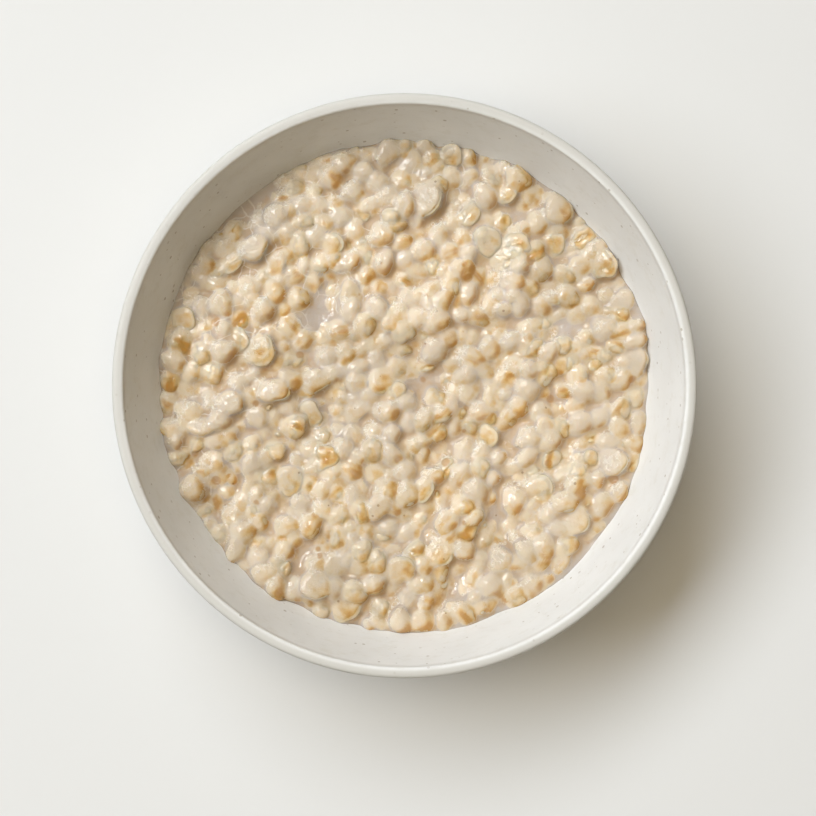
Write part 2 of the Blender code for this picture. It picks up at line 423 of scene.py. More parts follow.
# fields over a square, in millimetres
STEP = 0.25
SIDE = 72.0
axis = np.arange(-SIDE, SIDE + STEP / 2, STEP)
N = len(axis)
GX, GY = np.meshgrid(axis, axis, indexing="ij")
GR = np.hypot(GX, GY)

# the milk's resting level, from points 1 mm apart
coarse = np.arange(-SIDE, SIDE + 0.5, 1.0)
MILK_COARSE = np.array([[level(x / 1000, y / 1000) * 1000 for y in coarse] for x in coarse])
HEAP_COARSE = np.array([[heap(x / 1000, y / 1000) * 1000 for y in coarse] for x in coarse])


def sampled(field, x, y, low=-SIDE, step=STEP):
    """Cubic (Catmull-Rom) reading of a square field at points in millimetres."""
    fx = np.clip((np.asarray(x) - low) / step, 1, field.shape[0] - 3)
    fy = np.clip((np.asarray(y) - low) / step, 1, field.shape[1] - 3)
    ix, iy = np.floor(fx).astype(int), np.floor(fy).astype(int)
    tx, ty = fx - ix, fy - iy

    def weights(t):
        return (-0.5 * t + t * t - 0.5 * t**3, 1 - 2.5 * t * t + 1.5 * t**3,
                0.5 * t + 2 * t * t - 1.5 * t**3, -0.5 * t * t + 0.5 * t**3)

    wx, wy = weights(tx), weights(ty)
    total = 0.0
    for i in range(4):
        for j in range(4):
            total = total + wx[i] * wy[j] * field[ix + i - 1, iy + j - 1]
    return total


MILK = sampled(MILK_COARSE, GX, GY, step=1.0)
HEAP = sampled(HEAP_COARSE, GX, GY, step=1.0)



def warp(x, y):
    """Sideways unevenness of all that lies in the porridge, in millimetres."""
    return (0.42 * pnoise(x / 3.1, y / 3.1, 301) + 0.10 * pnoise(x / 1.4, y / 1.4, 302),
            0.42 * pnoise(x / 3.1, y / 3.1, 303) + 0.10 * pnoise(x / 1.4, y / 1.4, 304))


def unwarped(x, y):
    """Where a point of the even plane lies in the uneven one."""
    qx, qy = x, y
    for _ in range(6):
        wx, wy = warp(qx, qy)
        qx, qy = x - wx, y - wy
    return qx, qy


WX, WY = warp(GX, GY)

LIGHT_SIDE = np.array([math.cos(LIGHT_AZIMUTH), math.sin(LIGHT_AZIMUTH)])


class Oat:
    """One cooked oat. Its top is a function of its own disc coordinates (X, Y), |X, Y| <= 1."""

    def __init__(self, index, place, rng):
        x, y, half, width, turn, lift = place
        self.index = index
        self.x, self.y = x * 1000, y * 1000
        self.half, self.width, self.turn = half * 1050, width * 1090, turn
        top = (level(x, y) + 0.82 * heap(x, y)) * 1000 + self.width * (0.8 * lift + 0.56)
        pick = rng.random()
        if pick < 0.46:
            self.kind = "groat"
        elif pick < 0.70:
            self.kind = "split"
        elif pick < 0.90:
            self.kind = "flake"
        else:
            self.kind = "twin"
        self.seed = rng.randrange(1 << 20)
        self.a2, self.p2 = rng.uniform(0.0, 0.07), rng.uniform(0, 6.28)
        self.a3, self.p3 = rng.uniform(0.02, 0.09), rng.uniform(0, 6.28)
        self.a5, self.p5 = rng.uniform(0.0, 0.04), rng.uniform(0, 6.28)
        self.crease = 0.0
        self.pinch = 0.0
        self.cup = 0.0
        spread = 0.20
        if self.kind == "groat":
            self.thick = self.width * rng.uniform(0.66, 0.92)
            self.m, self.n = rng.uniform(2.0, 2.4), rng.uniform(1.45, 1.95)
            self.rough = rng.uniform(0.14, 0.36)
        elif self.kind == "split":
            self.thick = self.width * rng.uniform(0.62, 0.84)
            self.m, self.n = rng.uniform(2.0, 2.5), rng.uniform(1.4, 1.9)
            self.crease = rng.uniform(0.20, 0.50)
            self.crease_at = rng.uniform(-0.25, 0.25)
            self.crease_bend = rng.uniform(-0.35, 0.35)
            self.crease_wide = rng.uniform(0.12, 0.26)
            self.rough = rng.uniform(0.12, 0.28)
        elif self.kind == "flake":
            grow = rng.uniform(1.00, 1.14)
            self.half *= grow
            self.width *= grow
            self.thick = rng.uniform(0.9, 1.4)
            self.m, self.n = rng.uniform(3.2, 5.0), 2.0
            self.cup = rng.uniform(-0.35, 0.30)
            self.rough = rng.uniform(0.14, 0.30)
            spread = 0.26
        else:
            self.thick = self.width * rng.uniform(0.72, 0.90)
            self.m, self.n = 2.2, 1.6
            self.pinch = rng.uniform(0.30, 0.80)
            self.pinch_at = rng.uniform(-0.2, 0.2)
            self.rough = rng.uniform(0.08, 0.18)
        shift = rng.gauss(0, 0.45)
        away = -LIGHT_SIDE
        c, s = math.cos(shift), math.sin(shift)
        self.away = np.array([away[0] * c - away[1] * s, away[0] * s + away[1] * c])
        # they lie like shingles, each with its free edge raised a little
        raised = rng.uniform(0.02, 0.30)
        self.gx = raised * self.away[0] + rng.gauss(0, spread * 0.5)
        self.gy = raised * self.away[1] + rng.gauss(0, spread * 0.5)
        self.z = top - self.thick
        self.tint = rng.random()
        self.goldness = rng.betavariate(1.4, 2.2)
        self.bare = rng.uniform(-1.00, 0.06)     # how far it stands out of its film, mm
        self.bare_slope = rng.uniform(0.15, 0.42)
        if self.kind in ("flake", "split"):
            self.bare += 0.12

    def outline(self, angle):
        return (1 + self.a2 * np.cos(2 * angle + self.p2) + self.a3 * np.cos(3 * angle + self.p3)
                + self.a5 * np.cos(5 * angle + self.p5))

    def world_of(self, X, Y):
        """Disc coordinates to millimetres in the plane."""
        angle = np.arctan2(Y, X)
        k = self.outline(angle)
        px, py = X * k * self.half, Y * k * self.width
        if self.pinch:
            py = py * (1 - 0.22 * self.pinch * np.exp(-((X - self.pinch_at) / 0.28) ** 2))
        c, s = math.cos(self.turn), math.sin(self.turn)
        return self.x + px * c - py * s, self.y + px * s + py * c

    def disc_of(self, x, y):
        """Millimetres in the plane to disc coordinates."""
        c, s = math.cos(self.turn), math.sin(self.turn)
        dx, dy = x - self.x, y - self.y
        px, py = dx * c + dy * s, -dx * s + dy * c
        X = px / self.half
        if self.pinch:
            py = py / (1 - 0.22 * self.pinch * np.exp(-((X - self.pinch_at) / 0.28) ** 2))
        Y = py / self.width
        k = self.outline(np.arctan2(Y, X))
        return X / k, Y / k

    def relief(self, X, Y, rho):
        """Bumps, crease and the rest, in millimetres, on top of the plain form."""
        bx, by = X * self.half / 2.3, Y * self.width / 2.3
        add = self.rough * 1.20 * pnoise(bx + 3.1, by + 7.7, self.seed)
        add = add + self.rough * 0.38 * pnoise(bx * 2.1 + 1.7, by * 2.1, self.seed + 5)
        if self.crease:
            line = Y - self.crease_at - self.crease_bend * X * X
            add = add - self.crease * np.exp(-(line / self.crease_wide) ** 2) * (1 - np.clip(np.abs(X), 0, 1) ** 3)
        if self.pinch:
            add = add - self.pinch * np.exp(-((X - self.pinch_at) / 0.24) ** 2)
        if self.cup:
            add = add + self.cup * rho**2
        return add * np.sqrt(np.clip(1 - rho**2, 0, 1)) ** 0.6

    def top(self, X, Y):
        rho = np.clip(np.hypot(X, Y), 0, 1)
        body = np.clip(1 - rho**self.m, 0, 1) ** (1 / self.n)
        x, y = X * self.half, Y * self.width
        return self.z + self.thick * body + self.gx * x + self.gy * y + self.relief(X, Y, rho)

    def gold(self, X, Y, x, y):
        """0 pale to 1 golden: the oat's own browning, crease and blotches, with painted shade making the side away from
        the light more golden.
        """
        side = ((x - self.x) * self.away[0] + (y - self.y) * self.away[1]) / (0.5 * (self.half + self.width))
        rho = np.hypot(X, Y)
        # painted shade: more golden towards the side away from the light
        g = 0.02 + 0.50 * self.goldness + 0.48 * side
        g = g + 0.55 * pnoise(x / 2.1 + self.seed % 97, y / 2.1, self.seed)
        if self.crease:
            line = Y - self.crease_at - self.crease_bend * X * X
            g = g + 0.65 * np.exp(-(line / (self.crease_wide * 1.6)) ** 2) * (1 - np.clip(rho, 0, 1) ** 4)
        if self.kind == "flake":
            g = g + 0.30 * np.exp(-(rho / 0.45) ** 2) - 0.45 * smooth(0.62, 0.95, rho)
        return np.clip(g, 0, 1)

    def white(self, X, Y, x, y):
        """0 clear to 1 white: painted light, whiter on the side towards the light, with random patches."""
        side = ((x - self.x) * self.away[0] + (y - self.y) * self.away[1]) / (0.5 * (self.half + self.width))
        return np.clip(0.35 - 0.55 * side + 0.5 * pnoise(x / 3.3, y / 3.3, 77), 0, 1)

    def standing(self, x, y):
        """How far the top stands out of the film that wets it, in millimetres."""
        side = ((x - self.x) * self.away[0] + (y - self.y) * self.away[1]) / (0.5 * (self.half + self.width))
        return self.bare + self.bare_slope * side + 0.22 * pnoise(x / 2.6, y / 2.6, 911)


def make_oats():
    rng = random.Random(77)
    return [Oat(i, place, rng) for i, place in enumerate(scatter())]


def make_sunk():
    """Oats of the layer below, wholly under the milk's skin: lumps without an edge."""
    rng = random.Random(78)
    found = []
    for i in range(1150):
        r = 0.0680 * math.sqrt(rng.random())
        a = rng.uniform(0, 2 * math.pi)
        half = rng.uniform(0.0018, 0.0034)
        place = (r * math.cos(a), r * math.sin(a), half, half * rng.uniform(0.7, 0.95),
                 rng.uniform(0, math.pi), 0.0)
        oat = Oat(5000 + i, place, rng)
        # its top just under, or a little over, the milk's level
        oat.z = level(place[0], place[1]) * 1000 - oat.thick + rng.uniform(-0.8, 0.75)
        oat.bare = rng.uniform(-0.50, -0.15)
        oat.bare_slope = 0.05
        found.append(oat)
    return found


OATS = make_oats()
SUNK = make_sunk()

TRUE = np.full((N, N), -1e3)          # the highest oat at each place
HELD = np.full((N, N), -1e3)          # the same less what stands out of the film
GOLD = np.zeros((N, N))
TINT = np.zeros((N, N))
for oat in OATS + SUNK:
    reach = 1.15 * max(oat.half, oat.width) + 0.9
    i0, i1 = np.searchsorted(axis, (oat.x - reach, oat.x + reach))
    j0, j1 = np.searchsorted(axis, (oat.y - reach, oat.y + reach))
    i0, j0 = max(i0, 0), max(j0, 0)
    x = GX[i0:i1, j0:j1] + WX[i0:i1, j0:j1]
    y = GY[i0:i1, j0:j1] + WY[i0:i1, j0:j1]
    X, Y = oat.disc_of(x, y)
    rho = np.hypot(X, Y)
    inside = rho < 1
    top = np.where(inside, oat.top(X, Y), -1e3)
    held = np.where(rho < 0.97, top - oat.standing(x, y), -1e3)
    HELD[i0:i1, j0:j1] = np.maximum(HELD[i0:i1, j0:j1], held)
    over = top > TRUE[i0:i1, j0:j1]
    TRUE[i0:i1, j0:j1] = np.where(over, top, TRUE[i0:i1, j0:j1])
    gold = oat.gold(X, Y, x, y)
    GOLD[i0:i1, j0:j1] = np.where(over, gold, GOLD[i0:i1, j0:j1])
    TINT[i0:i1, j0:j1] = np.where(over, oat.tint, TINT[i0:i1, j0:j1])

# ---------------------------------------------------------------- the milk's surface
# A film held by the oats and the wall: where it is free, it is pulled flat towards its
# level over a capillary length, which leaves the curved rises round every oat.
CAPILLARY = 0.85
MILK_LEVEL = MILK - 0.12 + 0.22 * HEAP
CLIMB = 0.75 + 0.35 * pnoise(GX / 9.0, GY / 9.0, 41)
WALL_AT = wall_radius((MILK_LEVEL + CLIMB) / 1000) * 1000
AT_WALL = GR >= WALL_AT
film = np.maximum(MILK_LEVEL, HELD)
pull = (STEP / CAPILLARY) ** 2
for step in range(260):
    around = np.zeros_like(film)
    around[1:-1, 1:-1] = (film[2:, 1:-1] + film[:-2, 1:-1] + film[1:-1, 2:] + film[1:-1, :-2])
    relaxed = (around + pull * MILK_LEVEL) / (4 + pull)
    relaxed = np.maximum(relaxed, HELD)
    relaxed = np.where(AT_WALL, np.maximum(MILK_LEVEL + CLIMB, HELD), relaxed)
    film = relaxed


def blurred(field, sigma):
    """The field blurred over sigma millimetres."""
    f = np.fft.fftfreq(N, STEP)
    g = np.exp(-2 * (np.pi * f * sigma) ** 2)
    return np.fft.ifft2(np.fft.fft2(field) * g[:, None] * g[None, :]).real


# thick milk rounds its own edges, and its skin is finely uneven
film = np.where(GR < 71.0, 0.15 * film + 0.85 * blurred(np.where(GR < 71.8, film, MILK_LEVEL), 0.60), film)
film = film + 0.016 * pnoise(GX / 0.9, GY / 0.9, 51) + 0.06 * pnoise(GX / 2.3, GY / 2.3, 52) + 0.20 * pnoise(GX / 4.7, GY / 4.7, 53)
COVER = film - TRUE                    # film over the oat under it; large where there is none
# painted shade: the oats' golden colour is blurred onto the milk round each oat and shifted to the side away from the
# light
shown = smooth(0.9, 0.2, COVER)
foot = blurred(GOLD * shown, 0.75) / (blurred(shown, 0.75) + 0.25)
foot = np.roll(foot, (3, -2), (0, 1))
GOLD = GOLD * smooth(0.9, 0.3, COVER) + foot * smooth(0.3, 0.9, COVER)
# how far a place lies under its surroundings, and how far its slope faces away from the light
SAFE = np.where(GR < 71.8, film, MILK_LEVEL)
LOW = blurred(SAFE, 1.5) - film
SLOPE = np.gradient(blurred(SAFE, 0.45), STEP)
FACING_AWAY = SLOPE[0] * LIGHT_SIDE[0] + SLOPE[1] * LIGHT_SIDE[1]
BROAD = pnoise(GX / 21.0, GY / 14.0, 881)
# painted light and shade: slopes facing the light painted whiter, slopes facing away painted golden, with random
# patches on top
WHITE = np.clip(0.22 + smooth(0.0, 0.75, -FACING_AWAY) - 0.5 * smooth(0.1, 0.8, FACING_AWAY) + 0.5 * pnoise(GX / 3.3, GY / 3.3, 77) + 0.35 * BROAD, 0, 1)
WHITE *= smooth(1.6, 0.5, COVER) * 0.85 + 0.15
GOLD = np.clip(GOLD + (0.50 + 0.6 * pnoise(GX / 5.5, GY / 5.5, 882)) * smooth(0.15, 0.95, FACING_AWAY) - 0.30 * smooth(0.1, 0.8, -FACING_AWAY) - 0.3 * BROAD, 0, 1)


def build_milk(cells=298):
    """The core: a closed mesh with the film as its top, whose edge reaches just into the
    bowl's wall, and a plain underside that follows the inside of the bowl."""
    t = np.linspace(-1, 1, cells + 1)
    A, B = np.meshgrid(t, t, indexing="ij")
    # the square's cells bent to a disc, keeping their areas alike
    swap = np.abs(A) < np.abs(B)
    major = np.where(swap, B, A)
    minor = np.where(swap, A, B)
    with np.errstate(divide="ignore", invalid="ignore"):
        phi = np.where(major == 0, 0.0, (np.pi / 4) * minor / np.where(major == 0, 1, major))
    U = np.where(swap, major * np.sin(phi), major * np.cos(phi))
    V = np.where(swap, major * np.cos(phi), major * np.sin(phi))
    rho = np.clip(np.hypot(U, V), 0, 1)
    angle = np.arctan2(V, U)
    nominal = 69.6
    # where the film meets the wall, in each direction
    edge = np.full(angle.shape, nominal)
    for _ in range(6):
        z = sampled(film, edge * np.cos(angle), edge * np.sin(angle))
        edge = 0.5 * edge + 0.5 * (wall_radius(z / 1000) * 1000 + 0.25)
    r = nominal * rho + (edge - nominal) * smooth(0.86, 1.0, rho)
    x, y = r * np.cos(angle), r * np.sin(angle)
    z = sampled(film, x, y)
    cover = sampled(COVER.clip(-1.0, 3.0), x, y)
    gold, tint, hollow = sampled(GOLD, x, y), sampled(TINT, x, y), sampled(LOW, x, y)
    white = sampled(WHITE, x, y)
    n = cells + 1
    index = np.arange(n * n).reshape(n, n)
    a, b, c, d = index[:-1, :-1], index[1:, :-1], index[1:, 1:], index[:-1, 1:]
    quads = np.stack([a.ravel(), b.ravel(), c.ravel(), d.ravel()], 1)
    # the rim of the square, in order round the disc
    rim = np.concatenate([index[0, :-1], index[:-1, -1], index[-1, :0:-1], index[:0:-1, 0]])
    turn = np.arctan2(y.ravel()[rim], x.ravel()[rim])
    verts = [np.stack([x.ravel(), y.ravel(), z.ravel()], 1)]
    faces = [quads]
    # every fourth rim vertex carries the underside
    # the rim vertices carry the underside, ring below ring
    rim_z = z.ravel()[rim]
    low_z = FLOOR_TOP * 1000 + 1.2
    levels = [(0.05, 0.20), (0.12, -0.30), (0.25, -0.30), (0.45, -0.30), (0.65, -0.30), (0.82, -0.30), (0.93, -0.30), (1.0, -0.30)]
    previous = rim
    count = n * n
    extra = []
    for drop, inset in levels:
        zz = rim_z + (low_z - rim_z) * drop
        rr = wall_radius(zz / 1000) * 1000 + inset
        extra.append(np.stack([rr * np.cos(turn), rr * np.sin(turn), zz], 1))
        ring = np.arange(count, count + len(rim))
        count += len(rim)
        nxt, after = np.roll(previous, -1), np.roll(ring, -1)
        faces.append(np.stack([previous, nxt, after, ring], 1))
        previous = ring
    verts += extra
    centre = count
    verts.append(np.array([[0.0, 0.0, FLOOR_TOP * 1000 + 0.6]]))
    faces.append(np.stack([previous, np.roll(previous, -1), np.full(len(rim), centre)], 1))
    verts = np.concatenate(verts)
    more = len(verts) - n * n
    uv = np.stack([verts[:, 0], verts[:, 1]], 1) / 142.0 * 0.70 + 0.36
    under = np.arange(len(verts)) >= n * n
    uv[under] = (verts[under][:, :2] / 142.0 * 0.24) + np.array([0.86, 0.86])
    attributes = {
        "cover": np.concatenate([cover.ravel(), np.full(more, 3.0)]),
        "gold": np.concatenate([gold.ravel(), np.zeros(more)]),
        "tint": np.concatenate([tint.ravel(), np.full(more, 0.5)]),
        "hollow": np.concatenate([hollow.ravel(), np.zeros(more)]),
        "white": np.concatenate([white.ravel(), np.full(more, 0.3)]),
    }
    obj = new_mesh("milk_and_gel", verts / 1000, faces, attributes)
    return obj


def shows(oat):
    """Whether any of its top comes out of the film."""
    t = np.linspace(-1, 1, 21)
    X, Y = np.meshgrid(t, t)
    keep = np.hypot(X, Y) < 0.98
    X, Y = X[keep], Y[keep]
    x, y = unwarped(*oat.world_of(X, Y))
    return bool((oat.top(X, Y) > sampled(film, x, y) - 0.03).any())


def oat_faces(rings, segments):
    """Quads and triangles of one closed oat: a pole, rings of vertices, and a pole."""
    quads, tris = [], []
    for s in range(segments):
        s1 = (s + 1) % segments
        tris.append((0, 1 + s, 1 + s1))
        for r in range(rings - 1):
            a, b = 1 + r * segments, 1 + (r + 1) * segments
            quads.append((a + s, b + s, b + s1, a + s1))
        last = 1 + (rings - 1) * segments
        tris.append((last + s, 1 + rings * segments, last + s1))
    return np.array(quads), np.array(tris)


def build_oats(name, oats, segments=28, tops=10, lows=2):
    """All oats of one kind as one mesh."""
    psi = np.concatenate([np.linspace(0, 0.5 * np.pi, tops + 1)[1:],
                          np.linspace(0.5 * np.pi, np.pi, lows + 2)[1:-1]])
    rings = len(psi)
    phi = np.arange(segments) * 2 * np.pi / segments
    P, F = np.meshgrid(psi, phi, indexing="ij")
    X = np.concatenate([[0], (np.sin(P) * np.cos(F)).ravel(), [0]])
    Y = np.concatenate([[0], (np.sin(P) * np.sin(F)).ravel(), [0]])
    upper = np.concatenate([[True], (P <= 0.5 * np.pi + 1e-6).ravel(), [False]])
    quads, tris = oat_faces(rings, segments)
    each = len(X)
    verts, golds, whites, tints, covers, hollows = [], [], [], [], [], []
    for oat in oats:
        rho = np.clip(np.hypot(X, Y), 0, 1)
        # more rings towards the rim of a flat top
        wx, wy = oat.world_of(X, Y)
        z = oat.top(X, Y)
        low_body = 0.85 * oat.thick * np.sqrt(np.clip(1 - rho**2, 0, 1))
        plane = oat.z + oat.gx * X * oat.half + oat.gy * Y * oat.width
        z = np.where(upper, z, plane - low_body)
        golds.append(oat.gold(X, Y, wx, wy))
        wx, wy = unwarped(wx, wy)
        verts.append(np.stack([wx, wy, z], 1))
        whites.append(oat.white(X, Y, wx, wy))
        tints.append(np.full(each, oat.tint))
        here = sampled(film, wx, wy) - z
        covers.append(np.clip(here, -3, 3))
        hollows.append(sampled(LOW, wx, wy) + 0.6 * here.clip(-1, 2))
    verts = np.concatenate(verts)
    # nothing reaches through the bowl's wall
    r = np.hypot(verts[:, 0], verts[:, 1])
    most = wall_radius(verts[:, 2] / 1000) * 1000 + 0.10
    shrink = np.minimum(1.0, most / np.maximum(r, 1e-6))
    verts[:, :2] *= shrink[:, None]
    offset = (np.arange(len(oats)) * each)[:, None, None]
    all_quads = (quads[None] + offset).reshape(-1, 4)
    all_tris = (tris[None] + offset).reshape(-1, 3)
    attributes = {"cover": np.concatenate(covers), "gold": np.concatenate(golds), "tint": np.concatenate(tints),
                  "hollow": np.concatenate(hollows), "white": np.concatenate(whites)}
    return new_mesh(name, verts / 1000, [all_quads, all_tris], attributes)


# ---------------------------------------------------------------- materials
class Nodes:
    """Small help for writing node trees."""

    def __init__(self, name):
        self.material = bpy.data.materials.new(name)
        self.material.use_nodes = True
        self.tree = self.material.node_tree
        self.shader = self.tree.nodes["Principled BSDF"]

    def node(self, kind, **settings):
        made = self.tree.nodes.new(kind)
        for key_name, value in settings.items():
            setattr(made, key_name, value)
        return made

    def link(self, a, b):
        self.tree.links.new(a, b)

    def put(self, socket, value):
        if isinstance(value, bpy.types.NodeSocket):
            self.link(value, socket)
        else:
            socket.default_value = value

    def attribute(self, name):
        return self.node("ShaderNodeAttribute", attribute_name=name).outputs["Fac"]

    def coords(self):
        return self.node("ShaderNodeTexCoord").outputs["Object"]

    def math(self, operation, a, b=0.0, c=0.0, clamp=False):
        made = self.node("ShaderNodeMath", operation=operation, use_clamp=clamp)
        for socket, value in zip(made.inputs, (a, b, c)):
            self.put(socket, value)
        return made.outputs[0]

    def step(self, value, low, high, out_low=0.0, out_high=1.0):
        made = self.node("ShaderNodeMapRange", interpolation_type="SMOOTHSTEP")
        self.put(made.inputs["Value"], value)
        self.put(made.inputs["From Min"], low)
        self.put(made.inputs["From Max"], high)
        self.put(made.inputs["To Min"], out_low)
        self.put(made.inputs["To Max"], out_high)
        return made.outputs["Result"]

    def scaled(self, vector, scale):
        made = self.node("ShaderNodeVectorMath", operation="MULTIPLY")
        self.put(made.inputs[0], vector)
        made.inputs[1].default_value = scale if isinstance(scale, tuple) else (scale,) * 3
        return made.outputs[0]

    def noise(self, vector, scale, detail=2.0, rough=0.5, distortion=0.0):
        made = self.node("ShaderNodeTexNoise")
        self.put(made.inputs["Vector"], vector)
        made.inputs["Scale"].default_value = scale
        made.inputs["Detail"].default_value = detail
        made.inputs["Roughness"].default_value = rough
        made.inputs["Distortion"].default_value = distortion
        return made.outputs["Fac"]

    def voronoi(self, vector, scale, randomness=1.0, feature="F1"):
        made = self.node("ShaderNodeTexVoronoi", feature=feature)
        self.put(made.inputs["Vector"], vector)
        made.inputs["Scale"].default_value = scale
        made.inputs["Randomness"].default_value = randomness
        return made

    def mix(self, factor, a, b, blend="MIX"):
        made = self.node("ShaderNodeMix", data_type="RGBA", blend_type=blend)
        self.put(made.inputs["Factor"], factor)
        for socket, value in ((made.inputs[6], a), (made.inputs[7], b)):
            self.put(socket, (*value, 1.0) if isinstance(value, tuple) and len(value) == 3 else value)
        return made.outputs[2]

    def bump(self, height, strength, distance, normal=None):
        made = self.node("ShaderNodeBump")
        made.inputs["Strength"].default_value = strength
        made.inputs["Distance"].default_value = distance
        self.put(made.inputs["Height"], height)
        if normal is not None:
            self.put(made.inputs["Normal"], normal)
        return made.outputs["Normal"]

    def set(self, **values):
        for key_name, value in values.items():
            socket = self.shader.inputs[key_name.replace("_", " ")]
            self.put(socket, value)


def srgb(r, g, b):
    """A colour given as 0-255 display values, as linear light."""
    def one(v):
        v /= 255
        return v / 12.92 if v <= 0.04045 else ((v + 0.055) / 1.055) ** 2.4
    return (one(r), one(g), one(b))


def porridge_material(name, film_share):
    """Oats and the milk that wets them. cover is the film's depth in millimetres over the
    oat below (negative where the oat stands out), gold how golden it is there: partly the oat's own browning, partly
    painted shade away from the light."""
    m = Nodes(name)
    p = m.coords()
    cover, gold, tint = m.attribute("cover"), m.attribute("gold"), m.attribute("tint")
    hollow, white = m.attribute("hollow"), m.attribute("white")
    coarse_n = m.noise(p, 420.0, 3.0, 0.55)
    fine_n = m.noise(p, 1500.0, 3.0, 0.6)
    wide_n = m.noise(p, 90.0, 2.0, 0.5)
    # the oat's colour: its own browning and blotches, plus the painted shade that gold carries
    g = m.math("ADD", gold, m.math("MULTIPLY", m.math("SUBTRACT", coarse_n, 0.5), 0.75))
    g = m.math("ADD", g, m.math("MULTIPLY", m.math("SUBTRACT", fine_n, 0.5), 0.25), clamp=True)
    cream = (0.680, 0.565, 0.412)
    tan = (0.615, 0.408, 0.172)
    ochre = (0.500, 0.265, 0.070)
    oat = m.mix(m.step(g, 0.12, 0.80), cream, tan)
    oat = m.mix(m.step(g, 0.62, 1.04), oat, ochre)
    # each oat a little lighter or darker than the next
    value = m.step(tint, 0.0, 1.0, 0.93, 1.04)
    shade = m.node("ShaderNodeCombineColor")
    for socket in shade.inputs:
        m.put(socket, value)
    oat = m.mix(1.0, oat, shade.outputs[0], "MULTIPLY")
    # milk and starch gel, thin over the oats and deep between them
    thin = (0.650, 0.566, 0.466)
    deep = (0.552, 0.477, 0.418)
    deep = m.mix(m.step(wide_n, 0.35, 0.65), deep, (0.512, 0.437, 0.376))
    deep = m.mix(m.math("MULTIPLY", m.step(g, 0.32, 0.85), 0.75), deep, (0.510, 0.330, 0.150))
    low = m.step(hollow, -0.45, 0.15, 0.25, 1.0)
    milk = m.mix(m.math("MULTIPLY", m.step(cover, 0.5, 1.6), low), thin, deep)
    wet = m.math("ADD", cover, m.math("MULTIPLY", m.math("SUBTRACT", coarse_n, 0.5), 0.30))
    veiled = m.step(wet, 0.0, 0.80)
    colour = m.mix(m.math("MULTIPLY", veiled, m.step(cover, 0.3, 1.4, 0.42, 1.0)), oat, milk)
    # painted light: a pale starch white laid where the white field is high, on the sides and slopes facing the light
    lit_white = m.math("ADD", white, m.math("MULTIPLY", m.math("SUBTRACT", coarse_n, 0.5), 0.7))
    colour = m.mix(m.math("MULTIPLY", m.step(lit_white, 0.30, 1.05), 0.28), colour, (0.740, 0.680, 0.590))
    # painted shade: the hollows between lumps painted warmer and darker brown
    hollow_shade = m.math("ADD", hollow, m.math("MULTIPLY", m.math("SUBTRACT", coarse_n, 0.5), 0.5))
    colour = m.mix(m.math("MULTIPLY", m.step(hollow_shade, 0.06, 0.66), 0.64), colour, (0.520, 0.355, 0.200))
    # bran: soft golden-brown blots under the surface, and fine dark flecks
    blots = m.voronoi(p, 170.0)
    blot_pick = m.node("ShaderNodeSeparateColor")
    m.link(blots.outputs["Color"], blot_pick.inputs[0])
    size = m.step(blot_pick.outputs[0], 0.72, 1.0, 0.0, 0.26)
    blot = m.step(m.math("ADD", blots.outputs["Distance"], m.math("MULTIPLY", coarse_n, 0.12)), m.math("ADD", size, 0.10), size)
    blot = m.math("MULTIPLY", blot, m.math("GREATER_THAN", size, 0.02))
    colour = m.mix(m.math("MULTIPLY", blot, 0.55), colour, (0.430, 0.215, 0.060))
    flecks = m.voronoi(p, 330.0)
    fleck_pick = m.node("ShaderNodeSeparateColor")
    m.link(flecks.outputs["Color"], fleck_pick.inputs[0])
    fleck_size = m.step(fleck_pick.outputs[1], 0.90, 1.0, 0.0, 0.12)
    fleck = m.step(flecks.outputs["Distance"], m.math("ADD", fleck_size, 0.03), fleck_size)
    fleck = m.math("MULTIPLY", fleck, m.math("GREATER_THAN", fleck_size, 0.01))
    colour = m.mix(m.math("MULTIPLY", fleck, 0.50), colour, (0.220, 0.115, 0.045))
    # the skin is pimpled where the film is thick over an oat
    froth = m.math("MULTIPLY", m.step(cover, -0.05, 0.45), m.step(cover, 1.6, 0.7))
    froth = m.math("MULTIPLY", froth, m.step(m.noise(p, 230.0, 2.0, 0.5), 0.40, 0.58))
    froth = m.math("MULTIPLY", froth, m.step(white, 0.20, 0.75))
    height = m.math("ADD", m.math("MULTIPLY", m.noise(p, 620.0, 2.0, 0.55), 1.1),
                    m.math("MULTIPLY", m.noise(p, 980.0, 2.0, 0.5), m.math("ADD", m.math("MULTIPLY", froth, 1.8), 0.5)))
